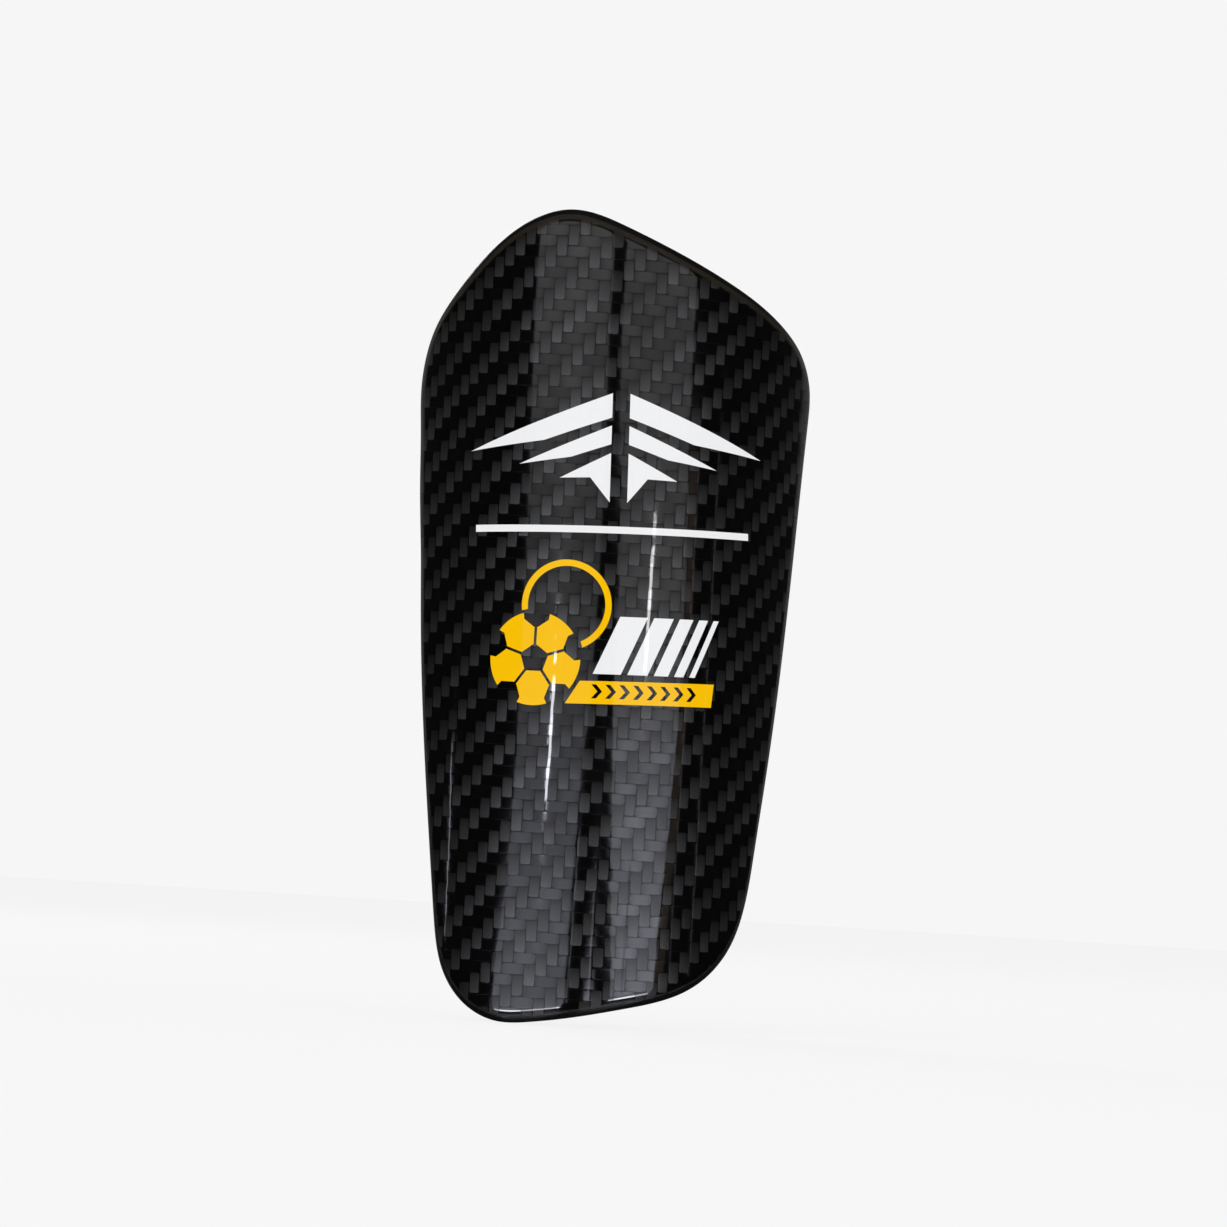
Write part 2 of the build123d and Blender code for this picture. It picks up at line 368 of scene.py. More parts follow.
def make_carbon():
    m, nt, p = material("carbon_twill_gloss")
    s, z, pos = shell_coords(nt)
    t = twill(nt, s, z)
    edge = nt.attr("edge")
    absa = nt.math("ABSOLUTE", t["across"])
    absb = nt.math("ABSOLUTE", t["along"])
    rnd = nt.white(t["ident"])
    rnd2 = nt.white(nt.scaled(t["ident"], 1.37))
    half_a = nt.mixf(t["warp"], nt.add(0.905, nt.mul(rnd2, 0.05)), nt.add(0.84, nt.mul(rnd2, 0.09)))
    half_b = nt.mixf(t["warp"], nt.add(0.94, nt.mul(rnd2, 0.04)), nt.add(0.87, nt.mul(rnd2, 0.10)))
    body = tow_body(nt, t, half_a, half_b, nt.mixf(t["warp"], 0.72, 0.36))
    # filaments run along the tow
    fib_w = nt.noise(nt.vec(nt.mul(t["u"], 22.0), nt.mul(t["v"], 1.1), 1.0), 1.0, 3.0, 0.6)
    fib_f = nt.noise(nt.vec(nt.mul(t["u"], 1.1), nt.mul(t["v"], 22.0), 7.0), 1.0, 3.0, 0.6)
    fib = nt.mixf(t["warp"], fib_f, fib_w)
    mott = nt.noise(nt.vec(nt.mul(s, 2.0), nt.mul(z, 2.0), 2.0), 1.0, 4.0, 0.8)
    patch = nt.noise(nt.vec(nt.mul(s, 0.16), nt.mul(z, 0.10), 6.0), 1.0, 2.0)
    var = nt.mul(nt.add(0.72, nt.mul(rnd, 0.56)), nt.add(0.70, nt.mul(patch, 0.60)))
    grain = nt.mul(nt.add(0.80, nt.mul(fib, 0.40)), nt.add(0.72, nt.mul(mott, 0.56)))
    # painted highlight and shade: each upright tow is painted brightest at the bottom end of its float and darker
    # towards its top, over its own random tone
    painted_tow_shading = nt.ramp(t["along"], -1.0, 1.0, 1.50, 0.36, smooth=False)
    warp_tone_and_shading = nt.mul(nt.mul(var, grain), painted_tow_shading)
    # painted shade: the crosswise tows are lighter at the middle of their floats and darker towards the ends, where
    # they dip under the crossing tows
    weft_tone_and_shading = nt.mul(nt.mul(var, grain), nt.ramp(absb, 0.3, 1.0, 1.08, 0.70))
    warp_c = nt.scaled(nt.mix(nt.ramp(t["along"], -0.2, 1.0), (0.0490, 0.0488, 0.0498, 1.0), (0.0515, 0.0485, 0.0445, 1.0)), warp_tone_and_shading)
    weft_c = nt.scaled((0.0550, 0.0543, 0.0550), weft_tone_and_shading)
    col = nt.mix(t["warp"], weft_c, warp_c)
    gap_c = (0.0050, 0.0049, 0.0048, 1.0)
    col = nt.mix(body, gap_c, col)
    # painted warm reflection: a brownish tint towards the edge, most at the top, stands in for a warm reflection along
    # the top rim
    near = nt.ramp(edge, 1.6, 4.2, 1.0, 0.0)
    blotch = nt.noise(nt.vec(nt.mul(s, 0.12), nt.mul(z, 0.12), 2.0), 1.0, 3.0)
    top = nt.ramp(z, 20.0, 80.0, 0.25, 1.0)
    painted_warm_reflection = nt.mul(nt.mul(near, top), nt.ramp(blotch, 0.3, 0.65, 0.35, 1.0))
    col = nt.mix(nt.mul(painted_warm_reflection, 0.75), col, (0.040, 0.0270, 0.0100, 1.0))
    # clear of the weave the resin is thick and hides it; the lighter, warmer tone it gets towards the top is a painted
    # warm reflection
    hold = nt.mul(nt.ramp(z, 30.0, 75.0), 0.7)
    roll = nt.ramp(nt.sub(nt.add(edge, nt.mul(nt.sub(blotch, 0.5), 0.6)), hold), 1.3, 2.0, 1.0, 0.0)
    col = nt.mix(nt.mul(roll, 0.9), col, nt.mix(top, (0.0060, 0.0054, 0.0045, 1.0), (0.0150, 0.0118, 0.0068, 1.0)))
    nt.l.new(col, p.inputs["Base Color"])
    # the fibres reflect like a dark metal; the upright tows also scatter a little at every angle
    lit = nt.mul(t["warp"], body)
    nt.l.new(nt.mixf(roll, nt.mixf(lit, 1.0, 0.83), 0.25), p.inputs["Metallic"])
    rough = nt.mixf(t["warp"], 0.07, 0.40)
    rough = nt.mixf(body, 0.45, rough)
    rough = nt.add(rough, nt.mul(nt.sub(fib, 0.5), 0.06))
    nt.l.new(nt.mixf(roll, rough, 0.45), p.inputs["Roughness"])
    crown = nt.mul(nt.sub(1.0, nt.math("POWER", absa, 4.0)), nt.sub(1.0, nt.math("POWER", absb, 6.0)))
    h = nt.add(nt.mul(crown, 1.0), nt.mul(fib, 0.10))
    h = nt.mul(nt.mul(h, body), nt.mixf(t["warp"], 0.08, 1.0))
    nt.l.new(nt.bump(h, 0.000030, 0.8), p.inputs["Normal"])
    coat_layer(nt, p, s, z)
    return m


def make_print(name, colour, dark=0.94):
    m, nt, p = material(name)
    s, z, pos = shell_coords(nt)
    # the film lies on the weave, so a little of its relief shows; its colour carries fine print mottle and a painted
    # shade, lighter on the tow crowns and darker between them
    t = twill(nt, s, z)
    absa = nt.math("ABSOLUTE", t["across"])
    absb = nt.math("ABSOLUTE", t["along"])
    crown = nt.mul(nt.sub(1.0, nt.math("POWER", absa, 6.0)), nt.sub(1.0, nt.math("POWER", absb, 8.0)))
    mott = nt.noise(nt.vec(nt.mul(s, 2.2), nt.mul(z, 2.2), 1.0), 1.0, 3.0)
    f = nt.add(nt.mul(nt.sub(crown, 0.5), 0.10), nt.mul(nt.sub(mott, 0.5), 0.35))
    col = nt.mix(nt.add(f, 0.5), tuple(c * dark for c in colour) + (1.0,), tuple(min(c * 1.02, 1.0) for c in colour) + (1.0,))
    nt.l.new(col, p.inputs["Base Color"])
    nt.l.new(nt.add(0.42, nt.mul(mott, 0.10)), p.inputs["Roughness"])
    p.inputs["Specular IOR Level"].default_value = 0.0
    nt.l.new(nt.bump(crown, 0.00001, 0.5), p.inputs["Normal"])
    coat_layer(nt, p, s, z)
    return m


def make_bead():
    m, nt, p = material("edge_resin_gloss")
    s, z, pos = shell_coords(nt)
    n1 = nt.noise(nt.vec(nt.mul(s, 0.25), nt.mul(z, 0.25), 4.0), 1.0, 4.0, 0.6)
    n2 = nt.noise(nt.vec(nt.mul(s, 1.6), nt.mul(z, 1.6), 8.0), 1.0, 3.0, 0.6)
    # painted warm reflection: a brownish tint along the lip, strongest at the top
    lip = nt.ramp(nt.attr("edge"), 0.9, 1.8, 0.0, 1.0)
    top = nt.ramp(z, 10.0, 80.0, 0.2, 1.0)
    warm_reflection = nt.mul(nt.mul(lip, top), nt.ramp(n1, 0.35, 0.65, 0.4, 1.0))
    col = nt.mix(nt.ramp(n2, 0.3, 0.7), (0.0022, 0.0021, 0.0020, 1.0), (0.0048, 0.0045, 0.0040, 1.0))
    col = nt.mix(warm_reflection, col, (0.022, 0.0150, 0.0060, 1.0))
    nt.l.new(col, p.inputs["Base Color"])
    nt.l.new(nt.add(0.22, nt.mul(n2, 0.15)), p.inputs["Roughness"])
    p.inputs["Specular IOR Level"].default_value = 0.1
    h = nt.add(nt.mul(n1, 1.0), nt.mul(n2, 0.08))
    p.inputs["Coat Weight"].default_value = 1.0
    p.inputs["Coat Roughness"].default_value = 0.03
    nt.l.new(nt.bump(h, 0.00016), p.inputs["Coat Normal"])
    nt.l.new(nt.bump(n2, 0.00004), p.inputs["Normal"])
    return m


def make_back_ply():
    m, nt, p = material("carbon_twill_rear")
    s, z, pos = shell_coords(nt)
    t = twill(nt, s, z)
    absa = nt.math("ABSOLUTE", t["across"])
    absb = nt.math("ABSOLUTE", t["along"])
    body = nt.mul(nt.ramp(absa, 0.88, 1.0, 1.0, 0.0), nt.ramp(absb, 0.92, 1.0, 1.0, 0.0))
    peel = nt.noise(nt.vec(nt.mul(s, 6.0), nt.mul(z, 6.0), 0.0), 1.0, 2.0)
    rnd = nt.white(t["ident"])
    tone = nt.mul(nt.add(0.75, nt.mul(rnd, 0.4)), nt.add(0.8, nt.mul(peel, 0.4)))
    # painted sheen: the upright tows get a lighter colour than the crosswise ones, standing in for the light the fibres
    # catch along their length; the rest of the tone varies at random
    col = nt.mix(t["warp"], nt.scaled((0.010, 0.010, 0.0105), tone), nt.scaled((0.024, 0.024, 0.025), tone))
    col = nt.mix(body, (0.005, 0.005, 0.005, 1.0), col)
    nt.l.new(col, p.inputs["Base Color"])
    nt.l.new(nt.add(0.45, nt.mul(peel, 0.2)), p.inputs["Roughness"])
    crown = nt.mul(nt.sub(1.0, nt.math("POWER", absa, 4.0)), nt.sub(1.0, nt.math("POWER", absb, 6.0)))
    h = nt.add(crown, nt.mul(peel, 0.5))
    nt.l.new(nt.bump(h, 0.00008), p.inputs["Normal"])
    return m


def make_core():
    m, nt, p = material("carbon_core_plies")
    s, z, pos = shell_coords(nt)
    streak = nt.noise(nt.vec(nt.mul(s, 5.0), nt.mul(z, 0.12), 2.0), 1.0, 4.0, 0.6)
    patch = nt.noise(nt.vec(nt.mul(s, 0.2), nt.mul(z, 0.05), 6.0), 1.0, 2.0)
    f = nt.add(nt.mul(streak, 0.7), nt.mul(patch, 0.3))
    nt.l.new(nt.mix(nt.ramp(f, 0.3, 0.7), (0.008, 0.008, 0.0085, 1), (0.032, 0.032, 0.034, 1)), p.inputs["Base Color"])
    nt.l.new(nt.add(0.35, nt.mul(streak, 0.25)), p.inputs["Roughness"])
    nt.l.new(nt.bump(streak, 0.00003), p.inputs["Normal"])
    return m


def make_glue():
    m, nt, p = material("adhesive_film")
    s, z, pos = shell_coords(nt)
    n1 = nt.noise(nt.vec(nt.mul(s, 0.4), nt.mul(z, 0.4), 2.0), 1.0, 4.0, 0.6)
    n2 = nt.noise(nt.vec(nt.mul(s, 4.0), nt.mul(z, 4.0), 2.0), 1.0, 2.0, 0.6)
    nt.l.new(nt.mix(nt.ramp(n1, 0.3, 0.7), (0.42, 0.39, 0.31, 1), (0.55, 0.52, 0.44, 1)), p.inputs["Base Color"])
    nt.l.new(nt.add(0.25, nt.mul(n2, 0.2)), p.inputs["Roughness"])
    nt.l.new(nt.bump(n2, 0.00003), p.inputs["Normal"])
    return m


def make_foam():
    m, nt, p = material("eva_foam_black")
    s, z, pos = shell_coords(nt)
    vor = nt.n.new("ShaderNodeTexVoronoi")
    nt.put(vor.inputs["Vector"], nt.scaled(pos, 1000.0))
    vor.inputs["Scale"].default_value = 2.6
    cell = vor.outputs["Distance"]
    big = nt.noise(nt.scaled(pos, 1000.0), 0.12, 3.0)
    f = nt.add(nt.mul(nt.ramp(cell, 0.0, 0.6), 0.6), nt.mul(big, 0.4))
    nt.l.new(nt.mix(f, (0.012, 0.012, 0.013, 1), (0.036, 0.036, 0.038, 1)), p.inputs["Base Color"])
    nt.l.new(nt.add(0.72, nt.mul(cell, 0.2)), p.inputs["Roughness"])
    nt.l.new(nt.bump(cell, 0.00012, 0.6), p.inputs["Normal"])
    return m


def make_knit():
    m, nt, p = material("brushed_knit_lining")
    s, z, pos = shell_coords(nt)
    # weft-knit wales and courses: V-shaped stitches 1.9 mm wide and 1.35 mm high
    u = nt.add(nt.mul(s, 1 / 1.9), 100.0)
    fu = nt.math("FRACT", u)
    legs = nt.math("ABSOLUTE", nt.sub(fu, 0.5))
    wob = nt.noise(nt.vec(nt.mul(s, 0.4), nt.mul(z, 0.4), 4.0), 1.0, 2.0)
    v = nt.add(nt.add(nt.mul(z, 1 / 1.35), 200.0), nt.mul(legs, -1.5))
    v = nt.add(v, nt.mul(nt.sub(wob, 0.5), 0.25))
    fv = nt.math("FRACT", v)
    course = nt.sub(1.0, nt.math("POWER", nt.math("ABSOLUTE", nt.sub(nt.mul(fv, 2.0), 1.0)), 2.0))
    wale = nt.sub(1.0, nt.math("POWER", nt.math("ABSOLUTE", nt.sub(nt.mul(nt.math("FRACT", nt.mul(u, 2.0)), 2.0), 1.0)), 3.0))
    stitch = nt.mul(course, wale)
    ply = nt.math("SINE", nt.mul(nt.add(v, nt.mul(u, 3.0)), 25.0))
    fuzz = nt.noise(nt.vec(nt.mul(s, 5.0), nt.mul(z, 5.0), 0.0), 1.0, 3.0, 0.7)
    slow = nt.noise(nt.vec(nt.mul(s, 0.06), nt.mul(z, 0.06), 0.0), 1.0, 2.0)
    f = nt.add(nt.add(nt.mul(stitch, 0.60), nt.mul(fuzz, 0.30)), nt.mul(slow, 0.2))
    f = nt.add(f, nt.mul(nt.mul(ply, stitch), 0.06))
    col = nt.mix(f, (0.010, 0.010, 0.011, 1), (0.094, 0.095, 0.100, 1))
    # the heat-pressed channels are flatter and darker than the raised cloth
    pressed = nt.attr("pressed")
    col = nt.mix(nt.mul(pressed, 0.55), col, (0.012, 0.012, 0.013, 1))
    nt.l.new(col, p.inputs["Base Color"])
    nt.l.new(nt.add(nt.sub(0.82, nt.mul(pressed, 0.2)), nt.mul(fuzz, 0.12)), p.inputs["Roughness"])
    p.inputs["Sheen Weight"].default_value = 0.2
    p.inputs["Sheen Roughness"].default_value = 0.5
    h = nt.mul(nt.add(stitch, nt.mul(fuzz, 0.4)), nt.sub(1.0, nt.mul(pressed, 0.6)))
    nt.l.new(nt.bump(h, 0.00030), p.inputs["Normal"])
    return m


CARBON = make_carbon()
WHITE = make_print("print_white", (0.875, 0.88, 0.895))
YELLOW = make_print("print_yellow", (0.965, 0.54, 0.0012), 0.93)
BEAD = make_bead()
REAR = make_back_ply()
CORE = make_core()
GLUE = make_glue()
FOAM = make_foam()
KNIT = make_knit()


def give(ob, mat):
    if ob.data.materials:
        for i in range(len(ob.data.materials)):
            ob.data.materials[i] = mat
    else:
        ob.data.materials.append(mat)
    for slot in ob.material_slots:
        slot.material = mat


# ------------------------------------------------------------------ the laminate's front skin
SKIN_IN = 1.3


def chains(curve):
    """Left and right bounds of a closed outline as functions of height."""
    hi, lo = int(np.argmax(curve[:, 1])), int(np.argmin(curve[:, 1]))
    c = np.roll(curve, -hi, 0)
    k = (lo - hi) % len(curve)
    one, two = c[: k + 1], np.vstack([c[k:], c[:1]])[::-1]
    if one[len(one) // 2, 0] > two[len(two) // 2, 0]:
        one, two = two, one
    zmax, zmin = curve[hi, 1], curve[lo, 1]

    def f(z):
        out = []
        for ch in (one, two):
            zz = np.minimum.accumulate(ch[:, 1])[::-1]
            out.append(np.interp(z, zz, ch[::-1, 0]))
        return out

    return f, zmin, zmax


def row_sheet(inset, n_z, n_s):
    """A grid of (s, z) that fills the outline row by row."""
    curve = inset_curve(inset)
    f, zmin, zmax = chains(curve)
    t = np.linspace(0, 1, n_z)
    t = t + 0.07 * -np.sin(2 * np.pi * t) / 1.0 * 0.9
    z = zmin + (zmax - zmin) * np.clip(t, 0, 1)
    z[0], z[-1] = zmin + 0.004, zmax - 0.004
    left, right = f(z)
    k = np.linspace(0, 1, n_s)
    S = left[:, None] * (1 - k) + right[:, None] * k
    Z = np.repeat(z[:, None], n_s, 1)
    return S, Z


def closed_sheet(name, inset, r_front, r_back, n_z=230, n_s=90, front_shape=None, back_shape=None, front_normal=None):
    S, Z = row_sheet(inset, n_z, n_s)
    D = edge_distance(S, Z)
    rf = np.full_like(S, r_front) if front_shape is None else front_shape(S, Z, D)
    rb = np.full_like(S, r_back) if back_shape is None else back_shape(S, Z, D)
    front = on_shell(S, Z, rf).reshape(-1, 3)
    back = on_shell(S, Z, rb).reshape(-1, 3)
    n = n_z * n_s
    faces = []
    for a in range(n_z - 1):
        for b in range(n_s - 1):
            i = a * n_s + b
            faces.append((i, i + 1, i + 1 + n_s, i + n_s))
            faces.append((n + i, n + i + n_s, n + i + 1 + n_s, n + i + 1))
    ring = [b for b in range(n_s)] + [a * n_s + n_s - 1 for a in range(1, n_z)]
    ring += [(n_z - 1) * n_s + b for b in range(n_s - 2, -1, -1)] + [a * n_s for a in range(n_z - 2, 0, -1)]
    for a, b in zip(ring, ring[1:] + ring[:1]):
        faces.append((b, a, n + a, n + b))
    verts = np.vstack([front, back])
    nr = radial(S).reshape(-1, 3)
    nf = nr if front_normal is None else front_normal(S, Z, D).reshape(-1, 3)
    normals = np.vstack([nf, -nr])
    attrs = {"edge": np.r_[D.ravel(), D.ravel()]}
    return verts, faces, normals, attrs


def skin_normal(S, Z, D):
    """The cylinder's own normal, leaning outwards where the resin rolls over towards the edge."""
    q = np.stack([S, Z], -1).reshape(-1, 2)
    near = np.empty(len(q), int)
    for i in range(0, len(q), 2000):
        c = q[i : i + 2000]
        near[i : i + 2000] = ((c[:, None, :] - EDGE[None, :, :]) ** 2).sum(-1).argmin(1)
    out = -EDGE_N[near].reshape(S.shape + (2,))
    slope = shoulder(D)[1]
    th = S / R_OUT
    n = radial(S) + slope[..., None] * (out[..., :1] * np.stack([np.cos(th), np.sin(th), 0 * th], -1) + out[..., 1:] * np.array([0, 0, 1.0]))
    return n / np.linalg.norm(n, axis=-1, keepdims=True)


v, f, nn, at = closed_sheet(
    "carbon_shell_front", SKIN_IN, R_OUT, R_OUT - COAT_T - PRINT_T - PLY_T - 2 * GAP, 300, 130,
    front_shape=lambda S, Z, D: R_OUT - shoulder(D)[0], front_normal=skin_normal,
)
skin = new_mesh("carbon_shell_front", v, f, nn, attrs=at)
give(skin, CARBON)
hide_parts("clear_coat", "face_ply")

# ------------------------------------------------------------------ rolled resin bead round the cut edge
N_EDGE = 1200


def loop_mesh(name, profile, mat, replaces, n=N_EDGE):
    """Sweeps a closed profile of (distance inside the outline, radius) round the outline."""
    base = even(EDGE, n)
    nin = normals_in(base)
    rings = []
    dist = []
    for d, r in profile:
        q = base + nin * d
        rings.append(on_shell(q[:, 0], q[:, 1], np.full(n, r)))
        dist.append(np.full(n, d))
    m = len(profile)
    verts = np.concatenate(rings)
    faces = []
    for a in range(m):
        b = (a + 1) % m
        for i in range(n):
            j = (i + 1) % n
            faces.append((a * n + i, b * n + i, b * n + j, a * n + j))
    ob = new_mesh(name, verts, faces, attrs={"edge": np.concatenate(dist)})
    bm = bmesh.new()
    bm.from_mesh(ob.data)
    bmesh.ops.recalc_face_normals(bm, faces=bm.faces)
    bm.to_mesh(ob.data)
    bm.free()
    give(ob, mat)
    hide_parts(*replaces)
    return ob


fall = float(shoulder(np.array(SKIN_IN))[0])
prof = [(SKIN_IN + 0.35, R_OUT - fall - 0.10), (SKIN_IN + 0.02, R_OUT - fall - 0.002)]
a_in = math.asin((ROLL_W - SKIN_IN) / ROLL_W)
for k in range(0, 15):
    a = a_in + (math.pi / 2 - a_in) * k / 14
    prof.append((ROLL_W * (1 - math.sin(a)), R_OUT - ROLL_H + ROLL_H * math.cos(a)))
for k in range(0, 7):
    a = math.pi / 2 * k / 6
    prof.append((0.6 * (1 - math.cos(a)), BACK_I + 0.6 - 0.6 * math.sin(a)))
prof += [(SEAL_W, BACK_I), (SEAL_W + 0.05, BACK_I + 0.06), (SEAL_W + 0.05, R_OUT - 0.9), (SKIN_IN + 0.3, R_OUT - 0.6)]
bead = loop_mesh("resin_edge_bead", prof, BEAD, ["edge_seal"])

# ------------------------------------------------------------------ printed graphics
TURN = math.radians(1.7)
EMBLEM_AT = (-0.8, 38.8)
BLADES = [
    [(-2.0, 12.6), (-36.2, -0.8), (-17.5, 1.6), (-2.0, 7.0)],
    [(-2.0, 5.2), (-23.4, -3.9), (-11.2, -2.2), (-2.0, 0.9)],
    [(-2.0, -1.1), (-13.6, -7.0), (-6.6, -6.8), (-2.0, -12.4)],
]
BAR = [(-34.36, 19.95), (32.83, 21.95), (32.96, 20.35), (-34.24, 18.34)]
RING_C, RING_R, RING_W = (-10.9, 2.4), 10.4, 1.45
BALL_C, BALL_R = (-17.6, -10.1), 10.7
BALL_GAP = 0.7
STRIPE_AT = (-3.9, -12.9)
STRIPE_W = [6.4, 4.7, 3.4, 2.3, 1.4]
STRIPE_H, STRIPE_SLANT, STRIPE_GAP = 13.2, 5.9, 1.5
BANNER = [(-6.72, -14.63), (25.49, -13.37), (25.06, -18.71), (-9.84, -19.96)]
CHEVRONS, CHEVRON_PITCH = 8, 3.2


def placed(pts, origin):
    c, s = math.cos(TURN), math.sin(TURN)
    return [(origin[0] + x * c - y * s, origin[1] + x * s + y * c) for x, y in pts]


def print_piece(name, outers, holes, mat, node, lift=0.012, sink=0.06, step=1.2):
    """Thin printed film that follows the shell: filled flat, sliced into narrow strips, then wrapped."""
    bm = bmesh.new()
    for pts in outers:
        edges = []
        loops = [pts] + [h for h in holes]
        for lp in loops:
            vs = [bm.verts.new((x, y, 0)) for x, y in lp]
            edges += [bm.edges.new((a, b)) for a, b in zip(vs, vs[1:] + vs[:1])]
        bmesh.ops.triangle_fill(bm, use_beauty=True, use_dissolve=False, edges=edges)
        holes = []
    xs = [v.co.x for v in bm.verts]
    x = math.floor(min(xs) / step) * step
    while x < max(xs):
        geom = bm.verts[:] + bm.edges[:] + bm.faces[:]
        bmesh.ops.bisect_plane(bm, geom=geom, dist=1e-5, plane_co=(x, 0, 0), plane_no=(1, 0, 0))
        x += step
    for fc in bm.faces:
        if fc.normal.z < 0:
            fc.normal_flip()
    top = list(bm.faces)
    ret = bmesh.ops.extrude_face_region(bm, geom=top)
    new_v = {e for e in ret["geom"] if isinstance(e, bmesh.types.BMVert)}
    bm.verts.index_update()
    coords, normals = [], []
    for vt in bm.verts:
        up = vt in new_v
        r = R_OUT + (lift if up else -sink)
        s_, z_ = vt.co.x, vt.co.y
        th = s_ / R_OUT
        vt.co = Vector((r * math.sin(th) * MM, (Y_AXIS - r * math.cos(th)) * MM, z_ * MM))
        normals.append((math.sin(th), -math.cos(th), 0.0))
    bmesh.ops.recalc_face_normals(bm, faces=bm.faces)
    me = bpy.data.meshes.new(name)
    bm.to_mesh(me)
    bm.free()
    for pg in me.polygons:
        pg.use_smooth = True
    me.normals_split_custom_set_from_vertices(normals)
    ob = bpy.data.objects.new(name, me)
    bpy.context.scene.collection.objects.link(ob)
    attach(ob, "root")
    give(ob, mat)
    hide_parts(node)
    return ob


def circle(c, r, a0=0.0, a1=2 * math.pi, n=96, closed=True):
    m = n if closed else n + 1
    return [(c[0] + r * math.cos(a0 + (a1 - a0) * i / n), c[1] + r * math.sin(a0 + (a1 - a0) * i / n)) for i in range(m)]


mirror = [[(-x, y) for x, y in reversed(b)] for b in BLADES]
print_piece("print_wing_left", [placed(b, EMBLEM_AT) for b in BLADES], [], WHITE, "emblem_left_wing")
print_piece("print_wing_right", [placed(b, EMBLEM_AT) for b in mirror], [], WHITE, "emblem_right_wing")
print_piece("print_divider_bar", [BAR], [], WHITE, "divider_bar")


def crossing(c, r, q, rq):
    """Angles round c where the circle (c, r) meets the circle (q, rq)."""
    dx, dy = q[0] - c[0], q[1] - c[1]
    d = math.hypot(dx, dy)
    mid = math.atan2(dy, dx)
    half = math.acos((d * d + r * r - rq * rq) / (2 * d * r))
    return mid + half, mid - half + 2 * math.pi


oa, ob_ = crossing(RING_C, RING_R, BALL_C, BALL_R + BALL_GAP)
ia, ib = crossing(RING_C, RING_R - RING_W, BALL_C, BALL_R + BALL_GAP)
ring_poly = circle(RING_C, RING_R, oa, ob_, 90, False) + circle(RING_C, RING_R - RING_W, ib, ia, 90, False)
print_piece("print_ring_badge", [ring_poly], [], YELLOW, "ring_badge")

panels = []
for i in range(5):
    a0, a1 = math.radians(90 + 72 * i), math.radians(90 + 72 * (i + 1))

    def at0(r, w):
        return (BALL_C[0] + r * math.cos(a0) - w * math.sin(a0), BALL_C[1] + r * math.sin(a0) + w * math.cos(a0))

    def at1(r, w):
        return (BALL_C[0] + r * math.cos(a1) + w * math.sin(a1), BALL_C[1] + r * math.sin(a1) - w * math.cos(a1))

    side = [(3.2675, 0.32), (7.2, 0.32), (7.2, 0.5), (8.9, 2.9), (10.242, 3.099)]
    arc = circle(BALL_C, BALL_R, a0 + math.radians(16.83), a0 + math.radians(55.17), 16, False)[1:-1]
    panels.append([at0(r, w) for r, w in side] + arc + [at1(r, w) for r, w in reversed(side)])
print_piece("print_ball_badge", panels, [], YELLOW, "ball_badge")

stripes, x0 = [], 0.0
for w in STRIPE_W:
    stripes.append(placed([(x0, 0), (x0 + w, 0), (x0 + w + STRIPE_SLANT, STRIPE_H), (x0 + STRIPE_SLANT, STRIPE_H)], STRIPE_AT))
    x0 += w + STRIPE_GAP
print_piece("print_slanted_stripes", stripes, [], WHITE, "slanted_stripes")

chevrons = []
for i in range(CHEVRONS):
    x0 = -2.6 + i * CHEVRON_PITCH
    chevrons.append(placed([(x0, 1.6), (x0 + 1.1, 1.6), (x0 + 2.5, 0), (x0 + 1.1, -1.6), (x0, -1.6), (x0 + 1.4, 0)], (-1.4, -16.8)))
print_piece("print_chevron_banner", [BANNER], chevrons, YELLOW, "chevron_banner")

# ------------------------------------------------------------------ pad and lining
PAD_ROUND = 1.7
CH_ROWS = [-62.0, -37.0, -12.0, 13.0, 38.0, 63.0]


def pressed_lines(S, Z, D):
    """0 to 1: the heat-pressed border line and the ventilation channels in pad and lining."""
    border = np.exp(-(((D - LINING_INSET - 5.2) / 0.75) ** 2))
    inside = np.clip((D - LINING_INSET - 7.4) / 1.2, 0, 1)
    inside = inside * inside * (3 - 2 * inside)
    half = np.interp(Z, [-93, -70, 0, 60, 93], [20, 26, 33, 40, 36])
    ch = np.zeros_like(S)
    for c in (-0.36, 0.36):
        ch = np.maximum(ch, np.exp(-(((S - c * half) / 1.15) ** 2)))
    for z0 in CH_ROWS:
        bow = z0 + 4.0 * np.cos(np.pi * np.clip(S / half, -1, 1) / 2)
        ch = np.maximum(ch, np.exp(-(((Z - bow) / 1.0) ** 2)))
    return np.maximum(border, ch * inside)


PRESS = 0.55


def pad_back(S, Z, D):
    d = np.clip(D - PAD_INSET, 0, None)
    k = np.clip(d / PAD_ROUND, 0, 1)
    drop = PAD_ROUND * (1 - np.sqrt(np.clip(1 - (1 - k) ** 2, 0, 1)))
    return FOAM_I + drop + PRESS * pressed_lines(S, Z, D)


v, f, nn, at = closed_sheet("foam_cushion", PAD_INSET, FOAM_O, FOAM_I, 260, 120, back_shape=pad_back)
foam = new_mesh("foam_cushion", v, f, None, attrs=at)
give(foam, FOAM)
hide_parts("foam_pad")


def lining_r(S, Z, D, base):
    d = np.clip(D - LINING_INSET, 0, None)
    k = np.clip(d / 2.1, 0, 1)
    drop = 1.5 * (1 - np.sqrt(np.clip(1 - (1 - k) ** 2, 0, 1)))
    return base + drop + PRESS * pressed_lines(S, Z, D)


